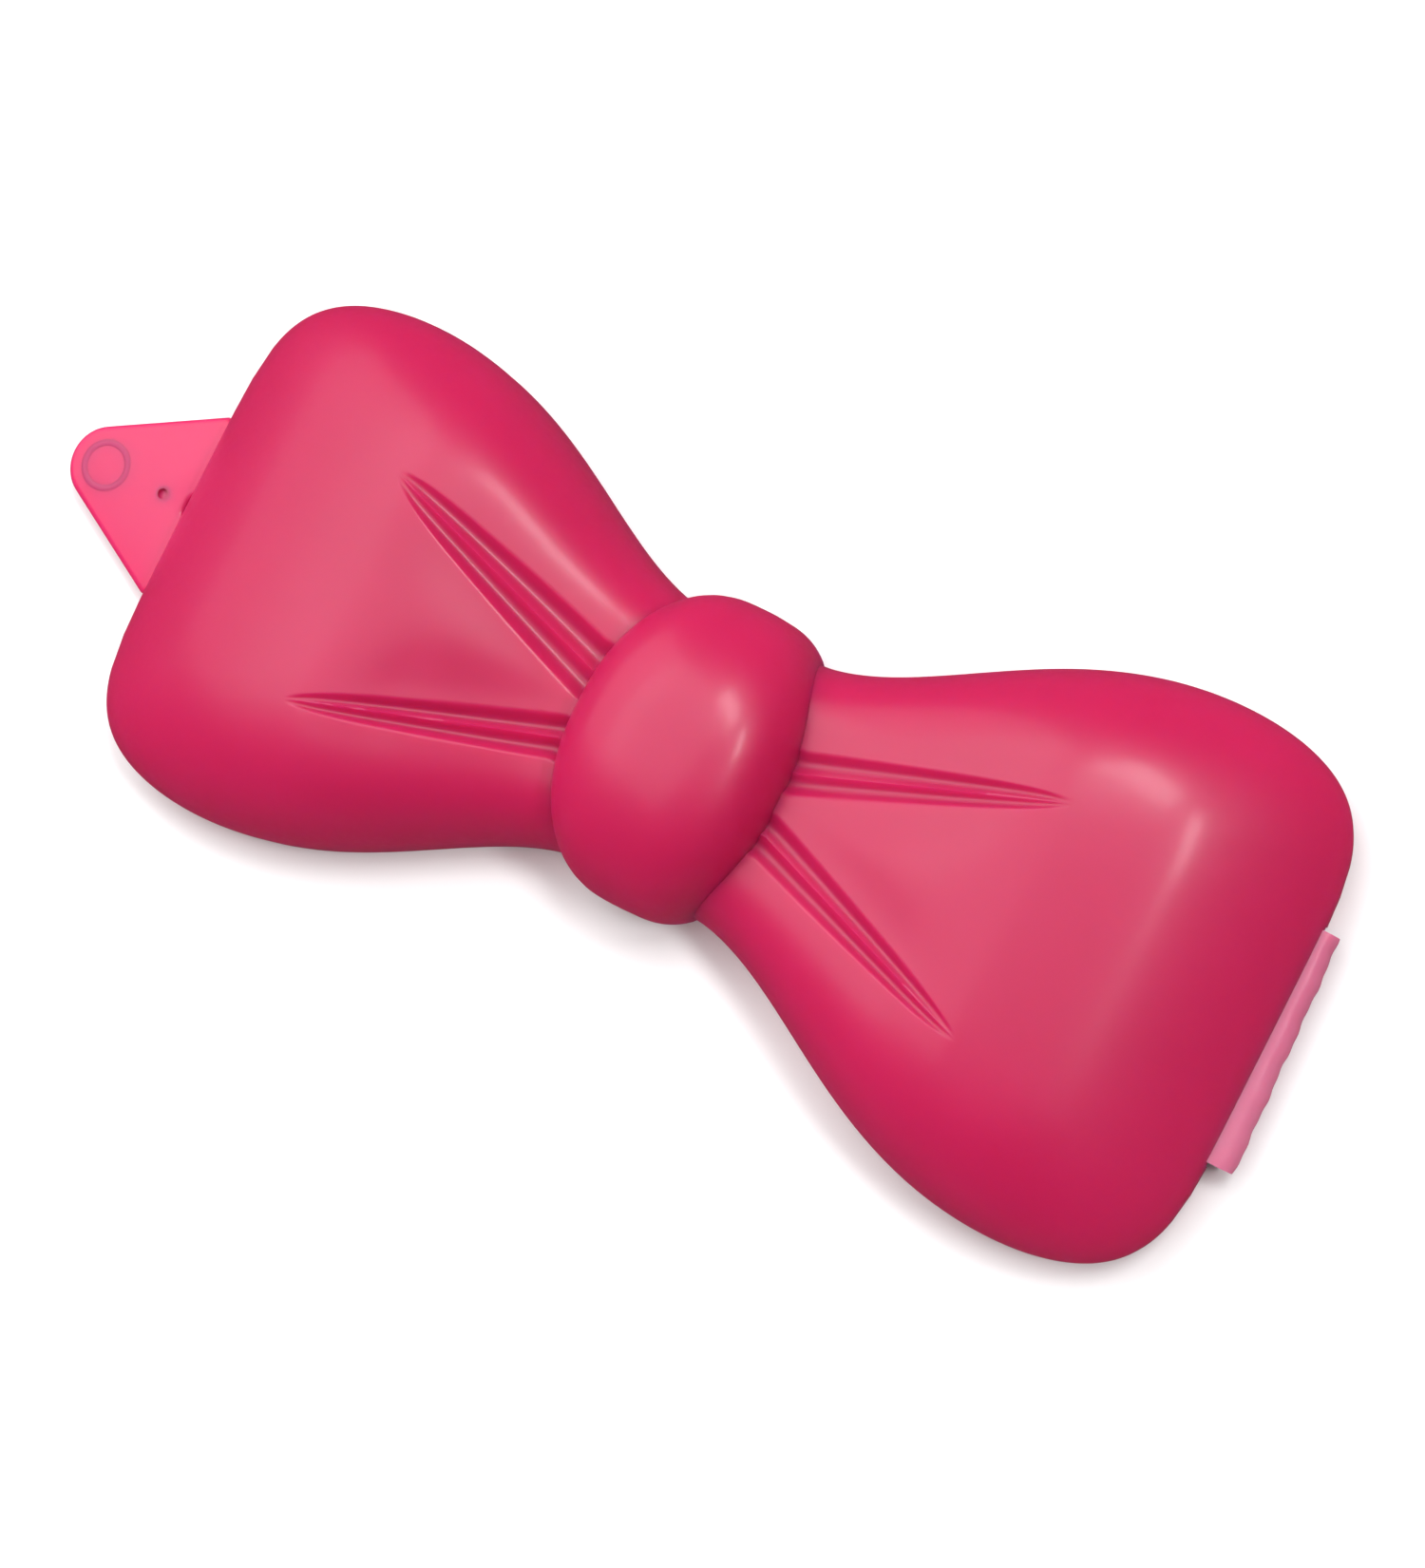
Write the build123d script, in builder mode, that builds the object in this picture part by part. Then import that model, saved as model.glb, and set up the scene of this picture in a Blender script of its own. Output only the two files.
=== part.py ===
"""Self-hinge bow barrette: a hollow ribbon-bow front and a flat clasp, moulded as one with a living hinge.

Frame: millimetres, X along the bow from the thumb tab (-X) to the hinge (+X), Y across it, Z up.
The origin is under the middle of the knot, on the plane that the closed barrette rests on.
"""

from build123d import *
import os
from math import cos, exp, log, pi, radians, sin, tan

os.makedirs("parts", exist_ok=True)

# ---- bow shell ----
half_length = 32.0  # middle of the knot to either end
waist_half = 7.2  # half width beside the knot
loop_half = 15.5  # half width the loops grow towards
flare_start = 3.0  # where the waist begins to widen
flare_reach = 12.0  # how fast it widens
flare_power = 1.9
corner_power = 5.9  # squareness of the loops' corners in plan
rim_height = 1.9  # straight foot of the side walls
waist_rise = 4.9  # crown above that foot, at the waist
loop_rise = 7.4  # crown above that foot, at the loops
crown_power = 4.2  # flatness of the crown, squareness of its shoulders
shoulder_start = 0.775  # where the crown breaks and slopes down to the end, as a part of the half length
shoulder_blend = 0.02  # how soft that break is
shoulder_drop = 0.85
shoulder_focus = 6  # keeps the slope to the ends of the bow
shoulder_foot = 12  # brings the slope back to the plain outline at the very end
wall = 1.2
stations = (0, 0.1, 0.22, 0.36, 0.52, 0.66, 0.75, 0.8, 0.87, 0.93, 0.975, 0.995)  # of half length
ribs = (1, 0.93, 0.8, 0.55, 0, -0.55, -0.8, -0.93, -1)  # points across each section, parts of its half width
core_half_x = 4.2  # opening under the knot, which cores out both
core_half_y = 4.8
core_floor = 5.0
core_high = 9.0  # more than the opening needs in height

# ---- knot ----
knot_half_x = 5.9
knot_half_y = 8.5
knot_foot = 1.7
knot_top = 10.4
knot_power = 2.9  # squareness of the knot in plan
knot_taper = 0.17  # how much narrower its two ends are
knot_levels = (0, 0.25, 0.45, 0.6, 0.74, 0.86, 0.94, 0.985, 0.999)  # layers, as parts of its height
flank_power = 5.0  # fullness of its sides towards the loops
end_power = 2.8  # fullness of its two ends
flank_round = 0.42  # how quickly those sides turn over into the top
end_round = 0.38
knot_points = 20  # points round each layer

# ---- clasp ----
bar_half = 5.0
bar_left = -28.0
bar_thick = 1.6
bar_clear = 0.4  # gap between the clasp and the notches it passes through
notch_depth = 4.0  # length of the notches, which go right through the end walls
foot_half = 6.2
foot_start = 26.5
foot_end = 29.5
tab_root_half = 5.35
tab_root = -32.6
tab_tip_radius = 2.25
tab_half_angle = 28.4
slot_left = -32.4
slot_right = -30.2
slot_half = 0.7
slot_corner = 0.5
dimple_x = -33.95  # blind mark in the tab's face, beside the end wall
dimple_radius = 0.5
dimple_depth = 0.3
tab_edge_radius = 0.4
ring_radius = 1.45
ring_thick = 0.35
ring_rise = 0.18
flange_thick = 0.8
flange_rise = 0.8
flange_end = 25.0

# ---- grip teeth ----
rail_offset = 2.6
rail_thick = 1.0
rail_half_length = 25.0
rail_foot = 2.4
tooth_pitch = 2.0
tooth_depth = 0.8
rail_top = 10.0  # above the roof, which trims the rails
comb_thick = 1.0
comb_rise = 1.2
comb_half_length = 24.0

# ---- catch and hinge ----
hook_half = 0.5
hook_foot = 0.25
hook_inset = 0.2  # from the outside of the end wall
hook_overlap = 0.1  # from its inside
barb_reach = 0.3
barb_height = 0.7
anchor_depth = 2.2
anchor_rise = 2.2
hinge_half = 6.3
hinge_high = 2.2  # height of the web where it leaves the end wall
hinge_low = 0.7  # height where it joins the clasp
hinge_bulge = 1.15  # how far its middle stands out from the end wall
hinge_thick = 0.35
hinge_root = 0.3  # how far it runs into the end wall


def half_width(x):
    """Half width of the bow's plan at x, without its rounded corners."""
    reach = max(abs(x) - flare_start, 0) / flare_reach
    return waist_half + (loop_half - waist_half) * (1 - exp(-(reach**flare_power)))


def rise(x):
    """Height of the crown line above the foot of the walls."""
    t = min(max(abs(x) / half_length - 0.1, 0) / 0.5, 1)
    return waist_rise + (loop_rise - waist_rise) * t * t * (3 - 2 * t)


def shoulder(along, share):
    """Drop below the plain dome, as a part of its rise; share is 0 mid bow and 1 on the outline."""
    slope = shoulder_blend * log(1 + exp((share - shoulder_start) / shoulder_blend))
    towards_end = (along / max(share, 0.001)) ** shoulder_focus
    return shoulder_drop * slope * towards_end * max(1 - share**shoulder_foot, 0) ** 0.5


def section(x, shrink):
    """Points of the domed top of the section at x, from one foot to the other, moved inwards by shrink."""
    along = abs(x) / half_length
    edge = (1 - along**corner_power) ** (1 / corner_power)
    width = half_width(x) * edge - shrink
    points = []
    for rib in ribs:
        share = (along**corner_power + abs(rib * edge) ** corner_power) ** (1 / corner_power)
        dome = max(1 - share**crown_power, 0) ** 0.5
        crown = rise(x) * max(dome - shoulder(along, share), 0)
        points.append((width * rib, max(rim_height + crown - shrink, rim_height)))
    return points


def section_plane(x):
    """Plane across the bow at x, with its own x along +Y and its own y along +Z."""
    return Plane(origin=(x, 0, 0), x_dir=(0, 1, 0), z_dir=(1, 0, 0))


def half_bow(side, shrink, foot):
    """Solid envelope of one loop, from the middle of the knot to its end, moved inwards by shrink."""
    end = half_length - shrink
    with BuildPart() as envelope:
        for share in stations:
            points = section(share * half_length, shrink)
            with BuildSketch(section_plane(side * end * share / stations[-1])):
                with BuildLine():
                    Spline(*points)
                    Polyline(points[-1], (points[-1][0], foot), (points[0][0], foot), points[0])
                make_face()
        loft()
    return envelope.part


def knot_outline(level, shrink):
    """Points round one layer of the knot: a superellipse with its two ends a little narrower."""
    half_x = (knot_half_x - shrink) * (1 - level**flank_power) ** flank_round
    half_y = (knot_half_y - shrink) * (1 - level**end_power) ** end_round
    points = []
    for step in range(knot_points):
        turn = 2 * pi * step / knot_points
        reach = (abs(cos(turn)) ** knot_power + abs(sin(turn)) ** knot_power) ** (-1 / knot_power)
        across = reach * sin(turn)
        along = reach * cos(turn) * (1 - knot_taper * across**2)
        points.append((along * half_x, across * half_y))
    return points


def knot_envelope(shrink):
    """Solid dome of the knot, moved inwards by shrink."""
    height = knot_top - shrink - knot_foot
    with BuildPart() as envelope:
        for level in knot_levels:
            with BuildSketch(Plane.XY.offset(knot_foot + height * level)):
                with BuildLine():
                    Spline(*knot_outline(level, shrink), periodic=True)
                make_face()
        loft()
    return envelope.part


def zigzag(half, low, high):
    """Points of a row of pointed teeth along X, from -half to half, between the heights low and high."""
    count = int(2 * half / tooth_pitch)
    points = [(-half, high)]
    for tooth in range(count):
        x = -half + tooth * tooth_pitch
        points += [(x + tooth_pitch / 2, low), (x + tooth_pitch, high)]
    return points


left_outer = half_bow(-1, 0, 0)
right_outer = half_bow(1, 0, 0)
left_inner = half_bow(-1, wall, -1)
right_inner = half_bow(1, wall, -1)
notch_top = bar_thick + bar_clear
inner_end = half_length - wall

# ---- living hinge: a thin strip folded in a U between the end wall and the clasp ----
hinge_middle = (hinge_high + hinge_low) / 2
hinge_half_height = (hinge_high - hinge_low) / 2
fold_reach = hinge_bulge + hinge_thick / 2
fold_half = hinge_half_height + hinge_thick / 2

with BuildPart() as living_hinge:
    with BuildSketch(Plane.XZ):
        with Locations((half_length, hinge_middle)):
            Ellipse(fold_reach, fold_half)
            Ellipse(fold_reach - hinge_thick, fold_half - hinge_thick, mode=Mode.SUBTRACT)
            Rectangle(fold_reach, 2 * fold_half, align=(Align.MIN, Align.CENTER), mode=Mode.INTERSECT)
        with Locations((half_length, hinge_high)):
            Rectangle(hinge_root, hinge_thick, align=(Align.MAX, Align.CENTER))
    extrude(amount=hinge_half, both=True)

# ---- bow: two hollow loops that meet under the knot ----
with BuildPart() as core_opening:
    with Locations((0, 0, core_floor)):
        Box(2 * core_half_x, 2 * core_half_y, core_high, align=(Align.CENTER, Align.CENTER, Align.MIN))

with BuildPart() as left_loop:
    add(left_outer)
    add(left_inner, mode=Mode.SUBTRACT)
    add(core_opening.part, mode=Mode.SUBTRACT)
    with Locations((-half_length, 0, 0)):
        Box(2 * notch_depth, 2 * (tab_root_half + bar_clear), 2 * notch_top, mode=Mode.SUBTRACT)

with BuildPart() as right_loop:
    add(right_outer)
    add(right_inner, mode=Mode.SUBTRACT)
    add(core_opening.part, mode=Mode.SUBTRACT)
    with Locations((half_length, 0, 0)):
        Box(2 * notch_depth, 2 * (foot_half + bar_clear), 2 * notch_top, mode=Mode.SUBTRACT)
    add(living_hinge.part, mode=Mode.SUBTRACT)

# ---- knot: a cored dome that wraps the waist ----
with BuildPart() as knot_core:
    add(knot_envelope(wall))
    add(core_opening.part, mode=Mode.INTERSECT)

with BuildPart() as knot:
    add(knot_envelope(0))
    add(knot_core.part, mode=Mode.SUBTRACT)
    add(left_outer, mode=Mode.SUBTRACT)
    add(right_outer, mode=Mode.SUBTRACT)

# ---- grip rails under the shell, their tops against its roof ----
rails = {}
for name, side in (("near_rail", -1), ("far_rail", 1)):
    with BuildPart() as rails[name]:
        with BuildSketch(Plane.XZ.offset(-side * rail_offset)):
            with BuildLine():
                teeth = zigzag(rail_half_length, rail_foot, rail_foot + tooth_depth)
                Polyline(*teeth, (rail_half_length, rail_top), (-rail_half_length, rail_top), teeth[0])
            make_face()
        extrude(amount=rail_thick / 2, both=True)
        add(left_inner + right_inner, mode=Mode.INTERSECT)

# ---- catch hook: a tongue with a small barb, hanging from the roof of the left notch ----
hook_left = -half_length + hook_inset
hook_right = -inner_end - hook_overlap

with BuildPart() as catch_hook:
    with BuildSketch(Plane.XZ):
        with BuildLine():
            Polyline(
                (hook_left, notch_top),
                (hook_left, hook_foot),
                (hook_right, hook_foot),
                (hook_right + barb_reach, hook_foot + barb_height / 2),
                (hook_right, hook_foot + barb_height),
                (hook_right, notch_top),
                (hook_left, notch_top),
            )
        make_face()
    extrude(amount=hook_half, both=True)

# ---- hinge anchor: the block behind the right end wall that the web grows out of ----
with BuildPart() as hinge_anchor:
    with Locations((inner_end, 0, notch_top)):
        Box(anchor_depth, 2 * hinge_half, anchor_rise, align=(Align.MAX, Align.CENTER, Align.MIN))
    add(right_inner, mode=Mode.INTERSECT)

# ---- clasp: flat bar, its stiffening edges and its middle row of teeth ----
with BuildPart() as clasp_arm:
    with BuildSketch():
        with Locations(((bar_left + foot_start) / 2, 0)):
            Rectangle(foot_start - bar_left, 2 * bar_half)
    extrude(amount=bar_thick)

flanges = {}
for name, side in (("near_flange", -1), ("far_flange", 1)):
    with BuildPart() as flanges[name]:
        with Locations((0, side * (bar_half - flange_thick / 2), bar_thick)):
            Box(2 * flange_end, flange_thick, flange_rise, align=(Align.CENTER, Align.CENTER, Align.MIN))

with BuildPart() as arm_comb:
    with BuildSketch(Plane.XZ):
        with BuildLine():
            teeth = zigzag(comb_half_length, bar_thick + comb_rise, bar_thick + comb_rise - tooth_depth)
            Polyline(*teeth, (comb_half_length, bar_thick), (-comb_half_length, bar_thick), teeth[0])
        make_face()
    extrude(amount=comb_thick / 2, both=True)

with BuildPart() as hinge_foot:
    with BuildSketch():
        with BuildLine():
            Polyline(
                (foot_start, -bar_half),
                (foot_end, -foot_half),
                (half_length, -foot_half),
                (half_length, foot_half),
                (foot_end, foot_half),
                (foot_start, bar_half),
                (foot_start, -bar_half),
            )
        make_face()
    extrude(amount=bar_thick)

# ---- release tab: tapers to a round tip, with the latch slot at its root ----
slant = radians(tab_half_angle)
tip_centre = tab_root - tab_root_half / tan(slant) + tab_tip_radius / sin(slant)
tip_touch = (tip_centre - tab_tip_radius * sin(slant), tab_tip_radius * cos(slant))
tip_end = tip_centre - tab_tip_radius

with BuildPart() as release_tab:
    with BuildSketch():
        with BuildLine():
            Polyline(
                (tip_touch[0], -tip_touch[1]),
                (tab_root, -tab_root_half),
                (bar_left, -bar_half),
                (bar_left, bar_half),
                (tab_root, tab_root_half),
                tip_touch,
            )
            ThreePointArc(tip_touch, (tip_end, 0), (tip_touch[0], -tip_touch[1]))
        make_face()
    extrude(amount=bar_thick)
    top_edges = release_tab.edges().group_by(Axis.Z)[-1]
    fillet(top_edges.filter_by(lambda edge: edge.center().X < tab_root), radius=tab_edge_radius)
    with BuildSketch():
        with Locations(((slot_left + slot_right) / 2, 0)):
            RectangleRounded(slot_right - slot_left, 2 * slot_half, slot_corner)
    extrude(amount=bar_thick, mode=Mode.SUBTRACT)
    with BuildSketch(Plane.XY.offset(bar_thick)):
        with Locations((dimple_x, 0)):
            Circle(dimple_radius)
    extrude(amount=-dimple_depth, mode=Mode.SUBTRACT)

with BuildPart() as tab_ring:
    with BuildSketch(Plane.XY.offset(bar_thick)):
        with Locations((tip_centre, 0)):
            Circle(ring_radius)
            Circle(ring_radius - ring_thick, mode=Mode.SUBTRACT)
    extrude(amount=ring_rise)

pieces = {
    "left_loop": left_loop,
    "right_loop": right_loop,
    "knot": knot,
    **rails,
    "catch_hook": catch_hook,
    "hinge_anchor": hinge_anchor,
    "living_hinge": living_hinge,
    "clasp_arm": clasp_arm,
    **flanges,
    "arm_comb": arm_comb,
    "hinge_foot": hinge_foot,
    "release_tab": release_tab,
    "tab_ring": tab_ring,
}
for name, piece in pieces.items():
    piece.part.label = name
    export_step(piece.part, f"parts/{name}.step")

web_length = pi * hinge_half_height
print(f"hinge axis at x {half_length + web_length / 2:.2f}, z {hinge_middle:.2f} mm")
print(f"tab tip at x {tip_end:.2f} mm")
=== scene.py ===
"""Looks of the self-hinge bow barrette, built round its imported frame.

The shape formulas work in millimetres, as the part does, and the pieces are made in metres.
X runs along the bow from the thumb tab (-X) to the hinge (+X), Z points out of its face.
"""

from math import asin, cos, pi, radians, sin, tan

import bmesh
import bpy
import numpy as np
from mathutils import Matrix, Vector


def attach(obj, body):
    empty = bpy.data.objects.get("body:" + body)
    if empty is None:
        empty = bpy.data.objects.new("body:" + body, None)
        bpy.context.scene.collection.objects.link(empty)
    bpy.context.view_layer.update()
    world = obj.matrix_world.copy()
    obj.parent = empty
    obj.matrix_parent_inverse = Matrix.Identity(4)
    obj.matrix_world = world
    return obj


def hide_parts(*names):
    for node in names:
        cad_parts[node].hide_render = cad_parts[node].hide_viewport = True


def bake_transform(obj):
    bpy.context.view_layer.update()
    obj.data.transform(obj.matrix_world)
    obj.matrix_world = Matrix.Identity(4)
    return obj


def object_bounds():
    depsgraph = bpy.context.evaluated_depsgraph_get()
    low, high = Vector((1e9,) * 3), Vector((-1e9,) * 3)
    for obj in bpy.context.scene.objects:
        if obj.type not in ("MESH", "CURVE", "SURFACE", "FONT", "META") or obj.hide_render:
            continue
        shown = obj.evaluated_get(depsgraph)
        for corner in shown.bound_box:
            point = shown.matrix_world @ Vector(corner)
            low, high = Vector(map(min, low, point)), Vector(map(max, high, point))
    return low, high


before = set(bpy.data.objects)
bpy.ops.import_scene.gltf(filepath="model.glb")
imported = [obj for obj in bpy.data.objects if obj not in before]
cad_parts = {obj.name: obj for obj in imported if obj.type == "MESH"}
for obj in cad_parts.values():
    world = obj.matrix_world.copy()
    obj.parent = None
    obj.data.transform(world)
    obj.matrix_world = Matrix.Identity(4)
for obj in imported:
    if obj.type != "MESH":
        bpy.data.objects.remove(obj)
cad_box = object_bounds()

MM = 0.001
MERGE_DISTANCE, LEAST_EDGE = 0.002, 0.001
# edges that turn more than these degrees look sharp
SHARP_ANGLE, KNOT_SHARP_ANGLE, PLATE_SHARP_ANGLE = 42, 50, 40

# ---- bow shell, the same formulas and sizes as the part ----
HALF_LENGTH = 32.0
WAIST_HALF = 7.2
LOOP_HALF = 15.5
FLARE_START, FLARE_REACH, FLARE_POWER = 3.0, 12.0, 1.9
CORNER_POWER = 5.9
RIM_HEIGHT = 1.9
WAIST_RISE, LOOP_RISE = 4.9, 7.4
RISE_START, RISE_REACH = 0.1, 0.5  # where it grows from one to the other, in half lengths
CROWN_POWER = 4.2
# break where the crown turns down; focus keeps it to the ends, and foot fades it out
SHOULDER_START, SHOULDER_BLEND, SHOULDER_DROP = 0.775, 0.02, 0.85
SHOULDER_FOCUS, SHOULDER_FOOT = 6, 12
WALL = 1.2
INSIDE_FOLD = 0.75  # part of a pleat's depth that shows inside the shell
LEFT_NOTCH_HALF = 5.75
RIGHT_NOTCH_HALF = 6.6
# section of a loop's foot, from the outside round to the inside: distance from the outside, height
FOOT_SECTION = (
    (0, 1.4), (0, 0.8), (0, 0.35), (0.04, 0.14), (0.14, 0.03), (0.3, 0),
    (0.95, 0), (1.1, 0.03), (WALL - 0.03, 0.14), (WALL, 0.35), (WALL, 0.8), (WALL, 1.4),
)

# ---- pleats pressed into the loops: two valleys with a thin ridge between them ----
PLEAT_START = (5.95, 1.73)  # centre line at the knot
PLEAT_END = (19.0, 6.2)
PLEAT_SLOPE = (PLEAT_END[1] - PLEAT_START[1]) / (PLEAT_END[0] - PLEAT_START[0])
PLEAT_COS = 1 / (1 + PLEAT_SLOPE**2) ** 0.5
PLEAT_HALF = 1.6  # of the widest one, at the knot
PLEAT_NARROWING, NARROWING_POWER = 0.55, 1.3  # part of the width gone before the round tip
TIP_POWER = 10
DEPTH_POWER, DEPTH_FADE = 3, 0.8  # how the depth runs out towards the tip
# half width, shift outwards and depth of the far pleat, then of the near one
LEFT_PLEATS = ((1.6, 0, 0.56), (1.15, 0.35, 0.5))
RIGHT_PLEATS = ((1.15, -0.1, 0.36), (1.15, 0.1, 0.38))
VALLEY_POWER = 1.25  # sharpness of the ridge and lips beside the valleys
RIDGE_DROP = 0.3  # how far the ridge stays below the lips, as a part of the depth
DISH_DEPTH, DISH_REACH = 0.35, 2.4
DISH_START = 0.6  # where the dish falls off, as a part of the pleat's half width
DISH_RUN_OUT = 0.4  # last part of the pleat's length, over which the dish fades
DISH_BLUNT = 0.8  # rounds the crest between the two dishes of a loop

# ---- grid of a loop ----
CORE_CELLS = 4  # rows of cells beside the opening under the knot
PLEATED_END = 0.64  # last of the close rows over the pleats, in half lengths
PLEATED_CELLS, END_CELLS = 73, 43
NOTCH_CELLS = 8  # columns of cells from the middle to the side of the notch
EDGE_CELLS = 25  # columns of cells from a pleat to the outline
# columns that follow a pleat, measured across it in its half widths
LIP_REACH, LIP_PLACES = 1.3, 4
VALLEY_REACH, VALLEY_PLACES = 0.94, 27
LEAST_BAND = 0.35  # their least width at the pleat's tip, as a part of that at the knot
BAND_ROOM = 0.92  # part of the way to the bow's middle line that they may take up
BEND_START, BEND_REACH = 0.25, 0.5  # where the square grid starts to follow the rounded corners
SETTLING_ROUNDS = 6
LEAST_X = 0.01  # the normals at the waist are taken this far from it

# ---- knot ----
KNOT_HALF_X, KNOT_HALF_Y = 5.9, 8.5
KNOT_FOOT, KNOT_TOP = 1.7, 10.4
KNOT_POWER, KNOT_TAPER = 2.9, 0.17
FLANK_POWER, END_POWER = 5.0, 2.8
FLANK_ROUND, END_ROUND = 0.42, 0.38
CORE_HALF_X, CORE_HALF_Y = 4.2, 4.8
SKIN_DEPTH = 0.35  # how deep the knot's skin runs into the loops' wall
SEAT_SHRINK, SEAT_DROP = 0.84, 0.3  # the seat's ring against the skin's edge
KNOT_COLUMNS, KNOT_LAYERS = 144, 40
FIRST_LAYER = 0.03  # size of the layer next to the top
HALVINGS = 40

# ---- clasp ----
BAR_HALF, BAR_THICK = 5.0, 1.6
BAR_LEFT, FOOT_START, FOOT_END, FOOT_HALF = -28.0, 26.5, 29.5, 6.2
TAB_ROOT, TAB_ROOT_HALF = -32.6, 5.35
TAB_TIP_RADIUS, TAB_HALF_ANGLE = 2.25, 28.4
SLANT = radians(TAB_HALF_ANGLE)
TIP_CENTRE = TAB_ROOT - TAB_ROOT_HALF / tan(SLANT) + TAB_TIP_RADIUS / sin(SLANT)
SLOT_LEFT, SLOT_RIGHT, SLOT_HALF, SLOT_CORNER = -32.4, -30.2, 0.7, 0.5
DIMPLE_X, DIMPLE_RADIUS, DIMPLE_DEPTH = -33.95, 0.5, 0.3
RING_RADIUS, RING_THICK, RING_RISE = 1.45, 0.35, 0.02
RING_CREST, RING_ROOT = 0.07, 0.15  # half width of the ring's crest, and its depth in the tab
EDGE_TOP, EDGE_FOOT = 0.35, 0.2  # rounding of the plates' edges
EDGE_TURNS = [pi / 8 * k for k in range(5)]
# sections of a plate's edge and of the dimple's wall, upwards: distance from the outline, height
PLATE_SECTION = [(EDGE_FOOT * (1 - sin(a)), EDGE_FOOT * (1 - cos(a))) for a in EDGE_TURNS]
PLATE_SECTION += [
    (EDGE_TOP * (1 - cos(a)), BAR_THICK - EDGE_TOP * (1 - sin(a))) for a in EDGE_TURNS
]
DIMPLE_SECTION = [
    (0, BAR_THICK - DIMPLE_DEPTH), (0, BAR_THICK - 0.15),
    (-0.06, BAR_THICK - 0.04), (-0.2, BAR_THICK),
]

# ---- hinge web ----
HINGE_HALF, HINGE_HIGH, HINGE_LOW, HINGE_BULGE, HINGE_THICK = 6.3, 2.2, 0.7, 1.15, 0.35
HINGE_ROOT = 0.25  # how far the web runs into the end wall and the clasp
FOLD_MEAN, FOLD_TILT = 0.78, 0.22  # how far the fold stands out, and its growth to the near end
FOLD_WAVES = ((0.03, 2.1, 0), (0.02, 5.3, 1))  # height, angle per mm and start of each
FOLD_PINCH, PINCH_POWER = 0.06, 8  # how the fold draws in at its two ends
WEB_COLUMNS, WEB_LAYERS = 61, 25

# ---- rounding of the small pieces that keep their CAD shape ----
# faces that turn less than the first are one; edges that turn more than the second are rounded
FLAT_ANGLE, CORNER_ANGLE = 2, 25
BOW_ROUNDING, CLASP_ROUNDING = 0.08, 0.1

# ---- plastic: cloudy colour and moulded grain, per metre ----
CLOUD_SCALE, CLOUD_DETAIL, CLOUD_STOPS = 90, 3, (0.25, 0.75)
GRAIN_SCALE, GRAIN_DETAIL, GRAIN_HEIGHT = 2600, 4, 0.00002
SCATTER_REACH = (1.0, 0.32, 0.42)  # of red, green and blue light
GLOSS_LESS, GLOSS_MORE = 0.05, 0.06  # spread of the roughness

# ---- floor, light and camera, in metres and degrees ----
FLOOR_HALF, FLOOR_CELLS, FLOOR_GAP = 1.5, 12, 0.00002
FLOOR_SCALE, FLOOR_DETAIL, FLOOR_GREYS = 400, 2, (0.88, 0.92)
LIGHT_DISTANCE = 0.5
WORLD_LIGHT = 0.06
CAMERA_AZIMUTH, CAMERA_ELEVATION, CAMERA_ROLL = -0.5, 75.5, -62.8
CAMERA_AIM, CAMERA_DISTANCE = (0.00134, -0.00068, 0.00263), 0.1467
CAMERA_LENS, CAMERA_NEAR = 65.9, 0.005


# ==== mesh helpers ====

def tidy_mesh(mesh):
    """Joins points that coincide, drops faces with no area and turns the rest outwards."""
    work = bmesh.new()
    work.from_mesh(mesh)
    bmesh.ops.remove_doubles(work, verts=work.verts, dist=MERGE_DISTANCE * MM)
    bmesh.ops.dissolve_degenerate(work, edges=work.edges, dist=LEAST_EDGE * MM)
    bmesh.ops.recalc_face_normals(work, faces=work.faces)
    work.to_mesh(mesh)
    work.free()


def finish_piece(name, mesh, material, body, node, sharp_angle):
    """Piece with this mesh and material: it stands for node, whose CAD part it hides, and rides on
    body.
    """
    piece = bpy.data.objects.new(name, mesh)
    bpy.context.scene.collection.objects.link(piece)
    mesh.materials.append(material)
    mesh.shade_smooth()
    mesh.set_sharp_from_angle(angle=radians(sharp_angle))
    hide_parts(node)
    if body:
        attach(piece, body)
    return piece


def new_piece(name, points, faces, material, body, node, sharp_angle=SHARP_ANGLE):
    """Piece made from points in mm and the faces between them."""
    mesh = bpy.data.meshes.new(name)
    mesh.from_pydata([Vector(p) * MM for p in points], [], [tuple(f) for f in faces])
    tidy_mesh(mesh)
    return finish_piece(name, mesh, material, body, node, sharp_angle)


def grid_quads(rows, columns, first=0, keep=None, closed=False):
    """Faces of a grid of points stored row by row; keep(i, j) says whether a cell is made."""
    quads = []
    for i in range(rows - 1):
        for j in range(columns if closed else columns - 1):
            if keep is None or keep(i, j):
                k = (j + 1) % columns
                a, b = first + i * columns, first + (i + 1) * columns
                quads.append((a + j, a + k, b + k, b + j))
    return quads


def ease(t):
    """Smooth step from 0 to 1."""
    t = np.clip(t, 0, 1)
    return t * t * (3 - 2 * t)


# ==== shape of the loops ====

def half_width(x):
    """Half width of the bow in plan."""
    reach = np.maximum(np.abs(x) - FLARE_START, 0) / FLARE_REACH
    return WAIST_HALF + (LOOP_HALF - WAIST_HALF) * (1 - np.exp(-(reach**FLARE_POWER)))


def rise(x):
    """Height of the crown's middle above the rim."""
    grown = ease((np.abs(x) / HALF_LENGTH - RISE_START) / RISE_REACH)
    return WAIST_RISE + (LOOP_RISE - WAIST_RISE) * grown


def plan_share(x, y):
    """0 in the middle of the bow and 1 on its outline in plan."""
    along, across = np.abs(x) / HALF_LENGTH, np.abs(y) / half_width(x)
    return (along**CORNER_POWER + across**CORNER_POWER) ** (1 / CORNER_POWER)


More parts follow.
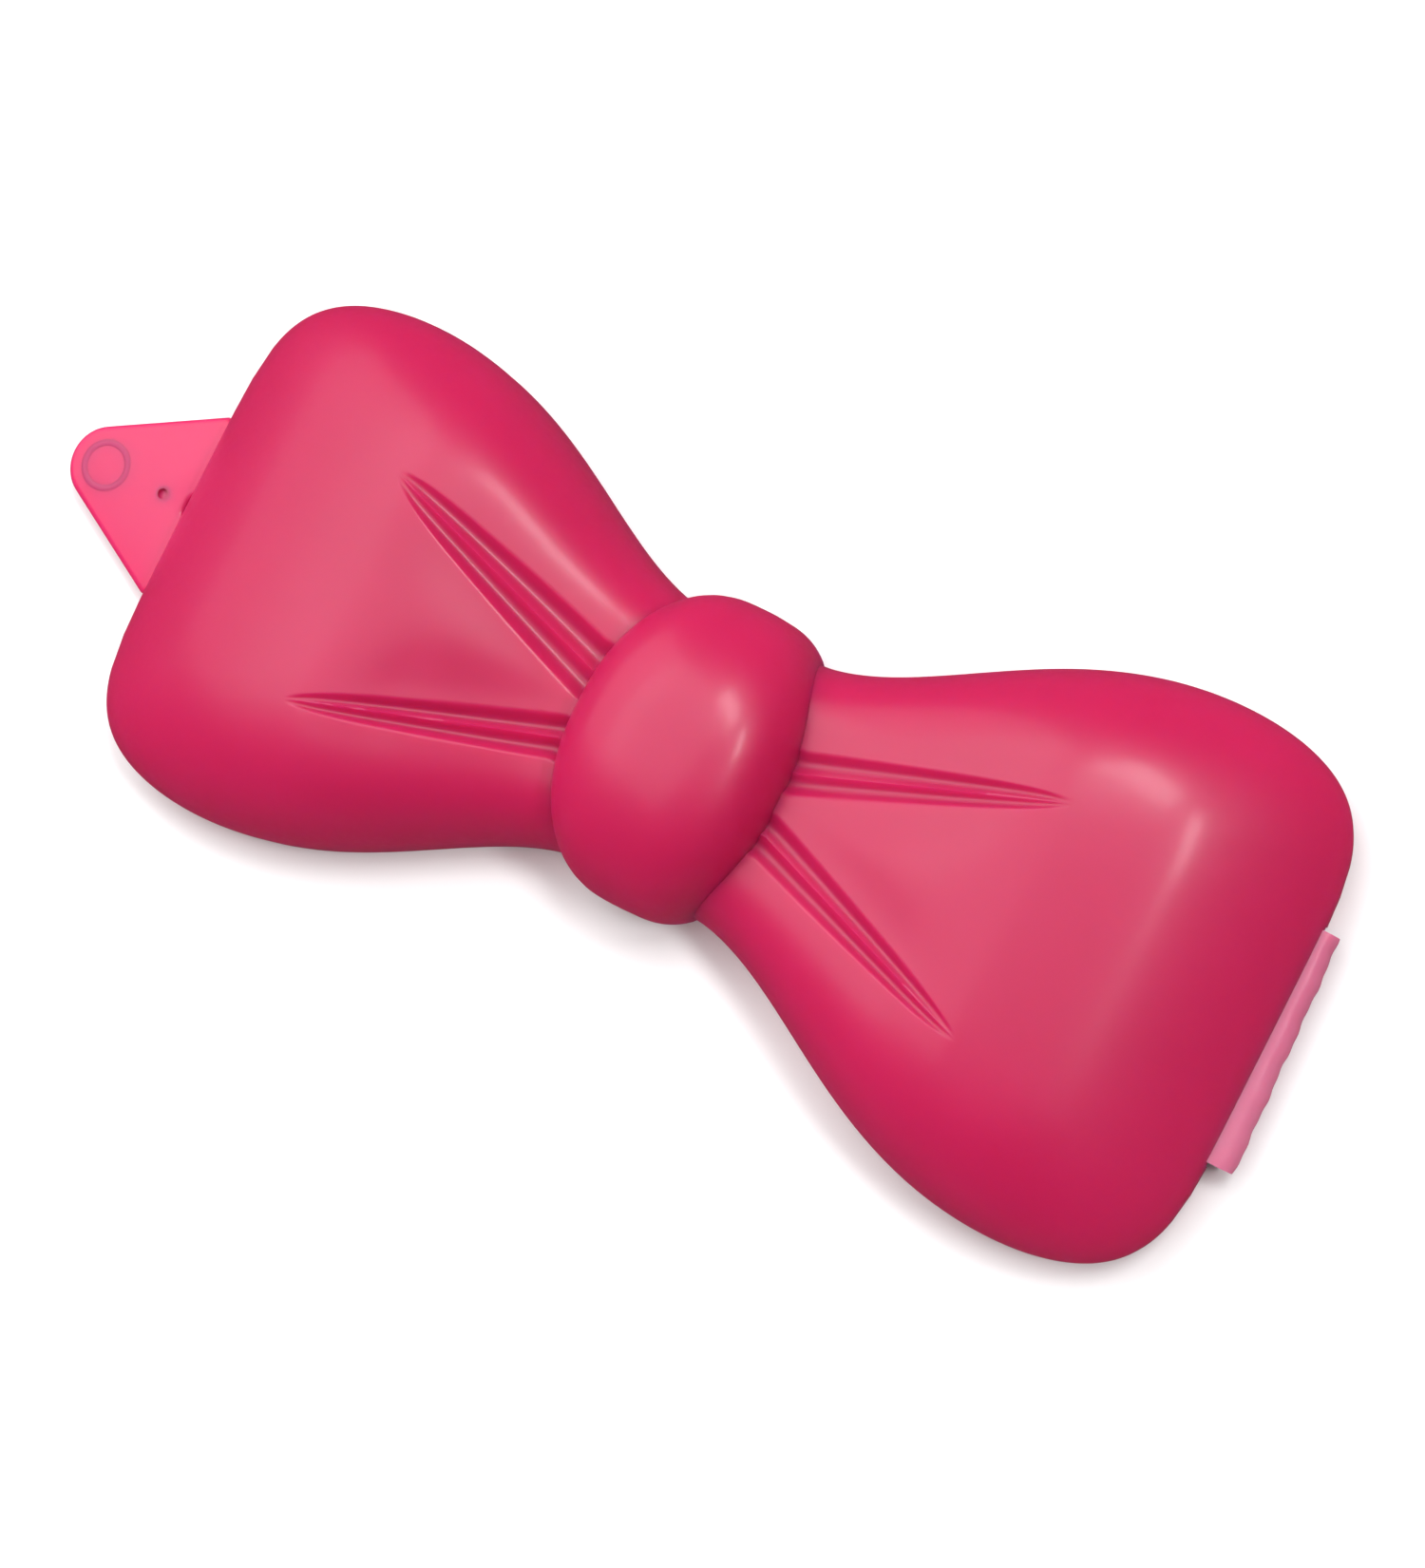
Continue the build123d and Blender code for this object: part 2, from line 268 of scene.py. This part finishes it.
def shoulder(x, y):
    """How far the ends fall below the plain crown past the break, as a part of the rise."""
    share = plan_share(x, y)
    slope = SHOULDER_BLEND * np.logaddexp(0, (share - SHOULDER_START) / SHOULDER_BLEND)
    ends_only = (np.abs(x) / HALF_LENGTH / np.maximum(share, 1e-6)) ** SHOULDER_FOCUS
    return SHOULDER_DROP * slope * ends_only * np.sqrt(np.maximum(1 - share**SHOULDER_FOOT, 0))


def crown(x, y):
    """Height of the plain loop's outside, before the pleats."""
    dome = np.sqrt(np.maximum(1 - plan_share(x, y) ** CROWN_POWER, 0))
    return RIM_HEIGHT + rise(x) * np.maximum(dome - shoulder(x, y), 0)


def crown_normal(x, y, z):
    """Unit normals of the loop's outside, also where its foot is vertical."""
    def field(x, y, z):
        return ((z - RIM_HEIGHT) / rise(x) + shoulder(x, y)) ** 2 + plan_share(x, y) ** CROWN_POWER

    h = 0.001
    slope = np.stack([
        field(x + h, y, z) - field(x - h, y, z),
        field(x, y + h, z) - field(x, y - h, z),
        field(x, y, z + h) - field(x, y, z - h),
    ], -1)
    return slope / np.maximum(np.linalg.norm(slope, axis=-1, keepdims=True), 1e-12)


def pleat_line(x):
    """Distance of the pleat's centre line from the bow's own, at x."""
    return PLEAT_START[1] + PLEAT_SLOPE * (np.maximum(np.abs(x), PLEAT_START[0]) - PLEAT_START[0])


def pleat_along(x):
    """0 where the pleat leaves the knot and 1 at its outer tip."""
    return np.clip((np.abs(x) - PLEAT_START[0]) / (PLEAT_END[0] - PLEAT_START[0]), 0, 1)


def pleat_taper(x):
    """Half width of the pleat at x as a part of its full one: a wedge with a blunt tip."""
    along = pleat_along(x)
    return (1 - PLEAT_NARROWING * along**NARROWING_POWER) * (1 - along**TIP_POWER) ** 0.5


def pleat(x, y, sides):
    """How far the pleats and the dish they lie in move the surface down."""
    along, taper = pleat_along(x), pleat_taper(x)
    half, shift, full_depth = (np.where(y > 0, far, near) for far, near in zip(*sides))
    distance = np.abs(np.abs(y) - pleat_line(x) - shift) * PLEAT_COS
    share = np.minimum(distance / np.maximum(half * taper, 1e-6), 1)
    depth = full_depth * (1 - along**DEPTH_POWER) ** DEPTH_FADE
    valleys = np.sin(pi * share) ** VALLEY_POWER * (1 - RIDGE_DROP)
    valleys += RIDGE_DROP * (1 - share**2) ** 2
    soft_distance = np.abs(np.sqrt(y**2 + DISH_BLUNT**2) - pleat_line(x)) * PLEAT_COS
    beyond = np.maximum(soft_distance - DISH_START * PLEAT_HALF * taper, 0)
    dish = DISH_DEPTH * np.exp(-((beyond / DISH_REACH) ** 2)) * ease((1 - along) / DISH_RUN_OUT)
    return -depth * valleys - dish


# ==== mesh of a loop ====

def place_on_loop(s, t):
    """Plan point of place (s, t) in a square laid over the outline, and its pull inwards."""
    most = np.maximum(s, np.abs(t))
    norm = (s**CORNER_POWER + np.abs(t) ** CORNER_POWER) ** (1 / CORNER_POWER)
    pull = 1 + (most / np.maximum(norm, 1e-9) - 1) * ease((most - BEND_START) / BEND_REACH)
    x = HALF_LENGTH * s * pull
    return x, half_width(x) * t * pull, pull


def loop_rows():
    """Places of the grid's rows along the loop: close together over the pleats and at its end."""
    core = np.linspace(0, CORE_HALF_X / HALF_LENGTH, CORE_CELLS + 1)
    pleated = np.linspace(core[-1], PLEATED_END, PLEATED_CELLS + 1)[1:]
    end = np.sin(np.linspace(asin(PLEATED_END), pi / 2, END_CELLS + 1))[1:]
    return np.concatenate([core, pleated, end])


def pleat_columns(rows):
    """Places of the columns that follow the far pleat, at every row."""
    bands = np.concatenate([
        np.linspace(-LIP_REACH, -1, LIP_PLACES),
        np.linspace(-VALLEY_REACH, VALLEY_REACH, VALLEY_PLACES),
        np.linspace(1, LIP_REACH, LIP_PLACES),
    ])
    place = np.zeros((len(rows), len(bands)))
    for _ in range(SETTLING_ROUNDS):
        x, _, pull = place_on_loop(np.repeat(rows[:, None], len(bands), 1), place)
        line = pleat_line(x)
        half = PLEAT_HALF * np.maximum(pleat_taper(x), LEAST_BAND) / PLEAT_COS
        half = np.where(bands < 0, np.minimum(half, BAND_ROOM * line / LIP_REACH), half)
        place = (line + bands * half) / (half_width(x) * pull)
    return place


def notch_column(notch_half):
    """Place of the notch's side on the loop's end."""
    place = notch_half / half_width(HALF_LENGTH)
    for _ in range(SETTLING_ROUNDS):
        pull = (1 + place**CORNER_POWER) ** (-1 / CORNER_POWER)
        place = notch_half / (half_width(HALF_LENGTH * pull) * pull)
    return place


def half_columns(rows, notch_half):
    """Places of the columns from the loop's middle to its edge, at every row."""
    pleated = pleat_columns(rows)
    split = notch_column(notch_half) / pleated[-1, 0]
    middle_share = np.concatenate([np.linspace(0, split, NOTCH_CELLS + 1), [(split + 1) / 2]])
    middle = pleated[:, :1] * middle_share
    edge_share = np.sin(np.linspace(0, pi / 2, EDGE_CELLS + 1))[1:]
    edge = pleated[:, -1:] + (1 - pleated[:, -1:]) * edge_share
    return np.concatenate([middle, pleated, edge], 1)


def loop_skins(notch_half, pleats):
    """Grids of the loop's outside and inside, and the normals of its plain outside."""
    rows = loop_rows()
    half = half_columns(rows, notch_half)
    across = np.concatenate([-half[:, :0:-1], half], 1)
    x, y, _ = place_on_loop(np.repeat(rows[:, None], across.shape[1], 1), across)
    z = crown(x, y)
    normal = crown_normal(np.maximum(x, LEAST_X), y, z)
    normal[0, :, 0] = 0
    normal /= np.linalg.norm(normal, axis=-1, keepdims=True)
    fold = pleat(x, y, pleats)
    outside = np.stack([x, y, z + fold], -1)
    inside = np.stack([x, y, z], -1) - WALL * normal
    inside[..., 2] = np.maximum(inside[..., 2] + INSIDE_FOLD * fold, RIM_HEIGHT)
    return outside, inside, normal


def make_loop(name, side, notch_half, pleats, material):
    """One hollow ribbon loop: a pleated outside, the hollow, and a round foot with a notch."""
    outside, inside, normal = loop_skins(notch_half, pleats)
    rows, columns = outside.shape[:2]
    count = rows * columns
    middle = columns // 2
    core_half = int(np.argmin(np.abs(outside[0, middle:, 1] - CORE_HALF_Y)))
    low, high = middle - core_half, middle + core_half

    def solid_cell(i, j):
        return not (i < CORE_CELLS and low <= j < high)

    points = [*outside.reshape(-1, 3), *inside.reshape(-1, 3)]
    faces = grid_quads(rows, columns, 0, solid_cell) + grid_quads(rows, columns, count, solid_cell)

    # waist end of the wall, which goes round the opening under the knot
    waist = [(0, j) for j in range(low + 1)]
    waist += [(i, low) for i in range(1, CORE_CELLS + 1)]
    waist += [(CORE_CELLS, j) for j in range(low + 1, high + 1)]
    waist += [(i, high) for i in range(CORE_CELLS - 1, -1, -1)]
    waist += [(0, j) for j in range(high + 1, columns)]
    ids = [i * columns + j for i, j in waist]
    faces += [(a, b, b + count, a + count) for a, b in zip(ids, ids[1:])]

    # foot of the wall: down outside, round under and up inside, all along the outline
    outline = [(i, 0) for i in range(rows)] + [(rows - 1, j) for j in range(1, columns)]
    outline += [(i, columns - 1) for i in range(rows - 2, -1, -1)]
    chains = []
    for i, j in outline:
        start = len(points)
        for depth, height in FOOT_SECTION:
            x, y = outside[i, j, :2] - depth * normal[i, j, :2]
            points.append((x, y, height))
        chains.append([i * columns + j, *range(start, len(points)), count + i * columns + j])
    notch_start, notch_end = rows - 1 + middle - NOTCH_CELLS, rows - 1 + middle + NOTCH_CELLS
    for k, (near, far) in enumerate(zip(chains, chains[1:])):
        if notch_start <= k < notch_end:
            faces.append((near[0], far[0], far[-1], near[-1]))
        else:
            faces += [(near[n], far[n], far[n + 1], near[n + 1]) for n in range(len(near) - 1)]
    faces += [chains[k] for k in (0, notch_start, notch_end, -1)]
    points = np.array(points)
    points[:, 0] *= side
    return new_piece(name + "_shell", points, faces, material, "bow", name)


# ==== knot ====

def knot_point(level_x, turn, half_x, half_y, top):
    """Points of the knot's dome; level_x is its x-size there, 1 at the foot and 0 at the top."""
    level = (1 - level_x ** (1 / FLANK_ROUND)) ** (1 / FLANK_POWER)
    c, s = np.cos(turn), np.sin(turn)
    reach = (np.abs(c) ** KNOT_POWER + np.abs(s) ** KNOT_POWER) ** (-1 / KNOT_POWER)
    across = reach * s
    along = reach * c * (1 - KNOT_TAPER * across**2)
    z = KNOT_FOOT + (top - KNOT_FOOT) * level
    return along * half_x * level_x, across * half_y * (1 - level**END_POWER) ** END_ROUND, z


def skin_foot(x, y):
    """Height of the knot skin's edge: inside the loops' wall, or the knot's foot beyond them."""
    wall = crown(x, y) + pleat(x, np.abs(y), LEFT_PLEATS) - SKIN_DEPTH
    return np.where(plan_share(x, y) < 1, np.maximum(wall, KNOT_FOOT), KNOT_FOOT)


def knot_skin(half_x, half_y, top, turns):
    """Layers of points from the top of the dome down to the loops."""
    low, high = np.zeros_like(turns), np.ones_like(turns)
    for _ in range(HALVINGS):
        size = (low + high) / 2
        x, y, z = knot_point(size, turns, half_x, half_y, top)
        above = z > skin_foot(x, y)
        low = np.where(above, size, low)
        high = np.where(above, high, size)
    share = np.sin(np.linspace(FIRST_LAYER, 1, KNOT_LAYERS) * pi / 2)[:, None]
    all_turns = np.repeat(turns[None, :], KNOT_LAYERS, 0)
    x, y, z = knot_point(low * share, all_turns, half_x, half_y, top)
    return np.stack([x, y, z], -1)


def make_knot(material):
    """Cored dome: its skin, the opening under it, and a seat between the two in the loops' wall."""
    turns = np.linspace(0, 2 * pi, KNOT_COLUMNS, endpoint=False)
    outer = knot_skin(KNOT_HALF_X, KNOT_HALF_Y, KNOT_TOP, turns)
    inner = knot_skin(CORE_HALF_X, CORE_HALF_Y, KNOT_TOP - WALL, turns)
    seat = outer[-1] * (SEAT_SHRINK, SEAT_SHRINK, 1)
    seat[:, 2] = skin_foot(seat[:, 0], seat[:, 1]) - SEAT_DROP
    tops = (0, 0, KNOT_TOP), (0, 0, KNOT_TOP - WALL)
    points = [*outer.reshape(-1, 3), *inner.reshape(-1, 3), *seat, *tops]
    count = KNOT_LAYERS * KNOT_COLUMNS
    outer_edge, inner_edge, seat_ring = count - KNOT_COLUMNS, 2 * count - KNOT_COLUMNS, 2 * count
    outer_top, inner_top = len(points) - 2, len(points) - 1
    faces = [
        *grid_quads(KNOT_LAYERS, KNOT_COLUMNS, closed=True),
        *grid_quads(KNOT_LAYERS, KNOT_COLUMNS, count, closed=True),
    ]
    for j in range(KNOT_COLUMNS):
        k = (j + 1) % KNOT_COLUMNS
        faces.append((j, k, outer_top))
        faces.append((count + j, count + k, inner_top))
        faces.append((outer_edge + j, outer_edge + k, seat_ring + k, seat_ring + j))
        faces.append((seat_ring + j, seat_ring + k, inner_edge + k, inner_edge + j))
    return new_piece(
        "knot_wrap", points, faces, material, "bow", "knot", KNOT_SHARP_ANGLE,
    )


# ==== clasp ====

def inset(outline, distances):
    """Outline moved inwards, each edge by its own distance; the outline runs counterclockwise."""
    moved = []
    for k, here in enumerate(outline):
        before, after = outline[k - 1], outline[(k + 1) % len(outline)]
        d1, d2 = distances[k - 1], distances[k]
        e1 = (Vector(here) - Vector(before)).normalized()
        e2 = (Vector(after) - Vector(here)).normalized()
        n1, n2 = Vector((-e1.y, e1.x)), Vector((-e2.y, e2.x))
        turn = n1.x * n2.y - n1.y * n2.x
        if abs(turn) < 1e-4:
            step = n1 * max(d1, d2) if min(d1, d2) > 0 else n1 * (d1 + d2) / 2
        else:
            step = Vector(((d1 * n2.y - d2 * n1.y) / turn, (d2 * n1.x - d1 * n2.x) / turn))
        moved.append(Vector(here) + step)
    return moved


def add_wall(work, ring, section, square=()):
    """Wall with this section along a ring, plain at the edges in square; gives its foot and top."""
    loops = []
    for depth, z in section:
        distances = [0 if k in square else depth for k in range(len(ring))]
        loops.append([work.verts.new((p.x * MM, p.y * MM, z * MM)) for p in inset(ring, distances)])
    for lower, upper in zip(loops, loops[1:]):
        for k in range(len(ring)):
            n = (k + 1) % len(ring)
            work.faces.new((lower[k], lower[n], upper[n], upper[k]))
    return loops[0], loops[-1]


def ring_edges(work, ring):
    """Edges of a closed loop of vertices."""
    return [work.edges.get((ring[k], ring[(k + 1) % len(ring)])) for k in range(len(ring))]


def make_plate(name, outline, joints, material, node, holes=(), pits=()):
    """Flat plate with rounded edges; those in joints stay square, as they meet a neighbour."""
    work = bmesh.new()
    foot_edges, top_edges = [], []
    for ring, square in [(outline, joints), *((hole, ()) for hole in holes)]:
        foot, top = add_wall(work, ring, PLATE_SECTION, square)
        foot_edges += ring_edges(work, foot)
        top_edges += ring_edges(work, top)
    for ring in pits:
        foot, top = add_wall(work, ring, DIMPLE_SECTION)
        work.faces.new(foot)
        top_edges += ring_edges(work, top)
    bmesh.ops.triangle_fill(work, edges=foot_edges, use_beauty=True)
    bmesh.ops.triangle_fill(work, edges=top_edges, use_beauty=True)
    mesh = bpy.data.meshes.new(name)
    work.to_mesh(mesh)
    work.free()
    tidy_mesh(mesh)
    return finish_piece(name, mesh, material, "clasp", node, PLATE_SHARP_ANGLE)


def arc(centre, radius, start, end, steps):
    """Points of an arc about centre, angles in degrees."""
    turns = [radians(start + (end - start) * k / steps) for k in range(steps + 1)]
    return [(centre[0] + radius * cos(a), centre[1] + radius * sin(a)) for a in turns]


def make_bar(material):
    """Flat bar of the clasp, between the tab and the hinge foot."""
    outline = [
        (BAR_LEFT, -BAR_HALF), (FOOT_START, -BAR_HALF),
        (FOOT_START, BAR_HALF), (BAR_LEFT, BAR_HALF),
    ]
    return make_plate("clasp_arm_plate", outline, {1, 3}, material, "clasp_arm")


def make_foot(material):
    """Wide end of the clasp, which carries the web."""
    outline = [
        (FOOT_START, -BAR_HALF), (FOOT_END, -FOOT_HALF), (HALF_LENGTH, -FOOT_HALF),
        (HALF_LENGTH, FOOT_HALF), (FOOT_END, FOOT_HALF), (FOOT_START, BAR_HALF),
    ]
    return make_plate("hinge_foot_plate", outline, {5}, material, "hinge_foot")


def make_tab(material):
    """Thumb tab with its round tip, the latch slot and the dimple."""
    outline = [(BAR_LEFT, -BAR_HALF), (BAR_LEFT, BAR_HALF), (TAB_ROOT, TAB_ROOT_HALF)]
    outline += arc((TIP_CENTRE, 0), TAB_TIP_RADIUS, 90 + TAB_HALF_ANGLE, 270 - TAB_HALF_ANGLE, 20)
    outline.append((TAB_ROOT, -TAB_ROOT_HALF))
    left, right, side = SLOT_LEFT + SLOT_CORNER, SLOT_RIGHT - SLOT_CORNER, SLOT_HALF - SLOT_CORNER
    corners = ((left, -side), (left, side), (right, side), (right, -side))
    slot = []
    for centre, start in zip(corners, (270, 180, 90, 0)):
        slot += arc(centre, SLOT_CORNER, start, start - 90, 5)
    dimple = arc((DIMPLE_X, 0), DIMPLE_RADIUS, 360, 0, 24)[:-1]
    return make_plate("release_tab_plate", outline, {0}, material, "release_tab", [slot], [dimple])


def make_tab_ring(material):
    """Low raised ring at the tab's tip."""
    half = RING_THICK / 2
    section = (
        (-half, -RING_ROOT), (-half, 0), (-RING_CREST, RING_RISE),
        (RING_CREST, RING_RISE), (half, 0), (half, -RING_ROOT),
    )
    steps, sides = 48, len(section)
    points, faces = [], []
    for k in range(steps):
        a = 2 * pi * k / steps
        here, after = k * sides, (k + 1) % steps * sides
        for i, (out, up) in enumerate(section):
            r = RING_RADIUS - half + out
            n = (i + 1) % sides
            points.append((TIP_CENTRE + r * cos(a), r * sin(a), BAR_THICK + up))
            faces.append((here + i, after + i, after + n, here + n))
    return new_piece("tab_ring_bead", points, faces, material, "clasp", "tab_ring")


def soften(node, material, body, width):
    """Copy of a CAD piece with its edges rounded by width mm."""
    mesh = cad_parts[node].data.copy()
    mesh.materials.clear()
    work = bmesh.new()
    work.from_mesh(mesh)
    bmesh.ops.remove_doubles(work, verts=work.verts, dist=MERGE_DISTANCE * MM)
    bmesh.ops.dissolve_limit(
        work, angle_limit=radians(FLAT_ANGLE), verts=work.verts, edges=work.edges,
    )
    corner = radians(CORNER_ANGLE)
    edges = [e for e in work.edges if len(e.link_faces) == 2 and e.calc_face_angle() > corner]
    bmesh.ops.bevel(
        work, geom=edges, offset=width * MM, segments=3, profile=0.5,
        affect="EDGES", clamp_overlap=True,
    )
    bmesh.ops.recalc_face_normals(work, faces=work.faces)
    work.to_mesh(mesh)
    work.free()
    return finish_piece(node + "_moulded", mesh, material, body, node, PLATE_SHARP_ANGLE)


# ==== hinge web ====

def fold_reach(y):
    """How far the web's fold stands out of the end wall at y."""
    wave = FOLD_MEAN - FOLD_TILT * y / HINGE_HALF
    for height, rate, start in FOLD_WAVES:
        wave += height * sin(rate * y + start)
    return HINGE_BULGE * wave * (1 - FOLD_PINCH * abs(y / HINGE_HALF) ** PINCH_POWER)


def make_web(material):
    """Thin strip folded in a U between the end wall and the clasp, with slight waves in it."""
    middle, reach = (HINGE_HIGH + HINGE_LOW) / 2, (HINGE_HIGH - HINGE_LOW) / 2
    points = []
    for skin in (HINGE_THICK / 2, -HINGE_THICK / 2):
        for i in range(WEB_COLUMNS):
            y = HINGE_HALF * (2 * i / (WEB_COLUMNS - 1) - 1)
            for k in range(WEB_LAYERS):
                a = pi / 2 - pi * k / (WEB_LAYERS - 1)
                x = HALF_LENGTH + fold_reach(y) * max(cos(a), 0) + skin * cos(a)
                if k in (0, WEB_LAYERS - 1):
                    x = HALF_LENGTH - HINGE_ROOT
                points.append((x, y, middle + (reach + skin) * sin(a)))
    count = WEB_COLUMNS * WEB_LAYERS
    faces = grid_quads(WEB_COLUMNS, WEB_LAYERS) + grid_quads(WEB_COLUMNS, WEB_LAYERS, count)
    border = [(i, 0) for i in range(WEB_COLUMNS)]
    border += [(WEB_COLUMNS - 1, k) for k in range(1, WEB_LAYERS)]
    border += [(i, WEB_LAYERS - 1) for i in range(WEB_COLUMNS - 2, -1, -1)]
    border += [(0, k) for k in range(WEB_LAYERS - 2, 0, -1)]
    ids = [i * WEB_LAYERS + k for i, k in border]
    faces += [(a, b, b + count, a + count) for a, b in zip(ids, ids[1:] + ids[:1])]
    web = new_piece("hinge_web", points, faces, material, None, "living_hinge")
    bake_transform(web)
    return web


# ==== materials ====

def set_inputs(node, **values):
    """Sets a node's inputs; an underscore stands for the space in an input's name."""
    for name, value in values.items():
        node.inputs[name.replace("_", " ")].default_value = value


def add_noise(tree, scale, detail):
    """Noise node of this scale and detail."""
    noise = tree.nodes.new("ShaderNodeTexNoise")
    set_inputs(noise, Scale=scale, Detail=detail)
    return noise


def add_ramp(tree, noise, stops, colours):
    """Ramp that takes the noise from one colour at its first stop to another at its second."""
    ramp = tree.nodes.new("ShaderNodeValToRGB")
    for element, position, colour in zip(ramp.color_ramp.elements, stops, colours):
        element.position = position
        element.color = (*colour, 1)
    tree.links.new(noise.outputs["Fac"], ramp.inputs["Fac"])
    return ramp


def moulded_plastic(name, deep, lit, roughness, scatter, scatter_scale, grain):
    """Satin translucent plastic: cloudy colour between deep and lit, and a fine moulded grain."""
    material = bpy.data.materials.new(name)
    material.use_nodes = True
    tree = material.node_tree
    shader = tree.nodes["Principled BSDF"]
    set_inputs(
        shader, Subsurface_Weight=scatter, Subsurface_Radius=SCATTER_REACH,
        Subsurface_Scale=scatter_scale, Specular_IOR_Level=0.45,
        Coat_Weight=0.2, Coat_Roughness=0.2,
    )
    place = tree.nodes.new("ShaderNodeTexCoord")
    cloud = add_noise(tree, CLOUD_SCALE, CLOUD_DETAIL)
    tree.links.new(place.outputs["Object"], cloud.inputs["Vector"])
    blend = add_ramp(tree, cloud, CLOUD_STOPS, (deep, lit))
    tree.links.new(blend.outputs["Color"], shader.inputs["Base Color"])
    fine = add_noise(tree, GRAIN_SCALE, GRAIN_DETAIL)
    tree.links.new(place.outputs["Object"], fine.inputs["Vector"])
    gloss = tree.nodes.new("ShaderNodeMapRange")
    set_inputs(gloss, To_Min=roughness - GLOSS_LESS, To_Max=roughness + GLOSS_MORE)
    tree.links.new(fine.outputs["Fac"], gloss.inputs["Value"])
    tree.links.new(gloss.outputs["Result"], shader.inputs["Roughness"])
    bump = tree.nodes.new("ShaderNodeBump")
    set_inputs(bump, Strength=grain, Distance=GRAIN_HEIGHT)
    tree.links.new(fine.outputs["Fac"], bump.inputs["Height"])
    tree.links.new(bump.outputs["Normal"], shader.inputs["Normal"])
    return material


def floor_material():
    """Matt white with hardly any mottle."""
    material = bpy.data.materials.new("pale_floor")
    material.use_nodes = True
    tree = material.node_tree
    shader = tree.nodes["Principled BSDF"]
    set_inputs(shader, Roughness=0.9, Specular_IOR_Level=0.1)
    mottle = add_noise(tree, FLOOR_SCALE, FLOOR_DETAIL)
    tint = add_ramp(tree, mottle, (0, 1), [(grey, grey, grey) for grey in FLOOR_GREYS])
    tree.links.new(tint.outputs["Color"], shader.inputs["Base Color"])
    return material


# ==== floor, light and camera ====

def make_floor():
    """Pale floor just under the bow; it isn't mirrored, as that would give the bow pale rims."""
    places = [FLOOR_HALF * (2 * i / FLOOR_CELLS - 1) for i in range(FLOOR_CELLS + 1)]
    mesh = bpy.data.meshes.new("floor")
    points = [(x, y, 0) for x in places for y in places]
    mesh.from_pydata(points, [], grid_quads(len(places), len(places)))
    mesh.materials.append(floor_material())
    floor = bpy.data.objects.new("floor", mesh)
    bpy.context.scene.collection.objects.link(floor)
    floor.location.z = cad_box[0].z - FLOOR_GAP
    floor.visible_glossy = False


def direction(azimuth, elevation):
    """Unit vector towards these angles in degrees; azimuth is measured from +X towards +Y."""
    a, e = radians(azimuth), radians(elevation)
    return Vector((cos(a) * cos(e), sin(a) * cos(e), sin(e)))


def softbox(name, azimuth, elevation, width, power, height=None, gloss=True):
    """Soft light aimed at the bow; gloss says whether it shows as a sheen on the plastic."""
    light = bpy.data.lights.new(name, "AREA")
    light.shape = "RECTANGLE"
    light.size = width
    light.size_y = height or width
    light.energy = power
    holder = bpy.data.objects.new(name, light)
    bpy.context.scene.collection.objects.link(holder)
    away = direction(azimuth, elevation)
    holder.location = away * LIGHT_DISTANCE
    holder.rotation_euler = away.to_track_quat("Z", "Y").to_euler()
    holder.visible_glossy = gloss


def make_world():
    """Even dim light from all round."""
    world = bpy.data.worlds.new("studio")
    bpy.context.scene.world = world
    world.use_nodes = True
    set_inputs(world.node_tree.nodes["Background"], Color=(1, 1, 1, 1), Strength=WORLD_LIGHT)


def make_camera():
    """Looks down from above the hinge end, rolled so that the bow runs down to the right."""
    away = direction(CAMERA_AZIMUTH, CAMERA_ELEVATION)
    lens = bpy.data.cameras.new("camera")
    lens.lens = CAMERA_LENS
    lens.clip_start = CAMERA_NEAR
    camera = bpy.data.objects.new("camera", lens)
    bpy.context.scene.collection.objects.link(camera)
    place = Matrix.Translation(Vector(CAMERA_AIM) + away * CAMERA_DISTANCE)
    facing = away.to_track_quat("Z", "Y").to_matrix().to_4x4()
    camera.matrix_world = place @ facing @ Matrix.Rotation(radians(CAMERA_ROLL), 4, "Z")
    bpy.context.scene.camera = camera


# ==== the whole model ====

bow_plastic = moulded_plastic(
    "bow_plastic", deep=(0.46, 0.0072, 0.072), lit=(0.505, 0.0096, 0.084),
    roughness=0.42, scatter=0.8, scatter_scale=0.0034, grain=0.1,
)
# the clasp is the bow's own plastic; its brighter colour here is painted light, standing for the
# light that comes through the thin plate from the white floor
clasp_plastic = moulded_plastic(
    "clasp_plastic", deep=(0.58, 0.0125, 0.106), lit=(0.64, 0.0175, 0.12),
    roughness=0.42, scatter=0.6, scatter_scale=0.0022, grain=0.1,
)
# the web is the bow's own plastic; its paler, greyer colour here is painted light, standing for the
# light that comes through the thin strip
web_plastic_painted_glow = moulded_plastic(
    "web_plastic_painted_glow", deep=(0.55, 0.11, 0.21), lit=(0.63, 0.17, 0.28),
    roughness=0.38, scatter=0.6, scatter_scale=0.0012, grain=0.4,
)

make_loop("left_loop", -1, LEFT_NOTCH_HALF, LEFT_PLEATS, bow_plastic)
make_loop("right_loop", 1, RIGHT_NOTCH_HALF, RIGHT_PLEATS, bow_plastic)
make_knot(bow_plastic)
make_bar(clasp_plastic)
make_foot(clasp_plastic)
make_tab(clasp_plastic)
make_tab_ring(clasp_plastic)
for node in ("near_rail", "far_rail", "catch_hook", "hinge_anchor"):
    soften(node, bow_plastic, "bow", BOW_ROUNDING)
for node in ("near_flange", "far_flange", "arm_comb"):
    soften(node, clasp_plastic, "clasp", CLASP_ROUNDING)
make_web(web_plastic_painted_glow)

make_floor()
softbox("back", 120, 50, 0.4, 0.75, gloss=False)
softbox("window", 64, 63, 0.18, 0.95, height=0.1)
softbox("glint", 19, 53, 0.11, 0.55, height=0.04)
softbox("top", 158, 72, 0.42, 1.05)
softbox("left", 160, 38, 0.5, 1.2)
softbox("right", 45, 36, 0.4, 0.28, gloss=False)
softbox("front", 245, 30, 0.5, 1.05, gloss=False)
make_world()
make_camera()
bpy.context.scene.view_settings.view_transform = "Standard"
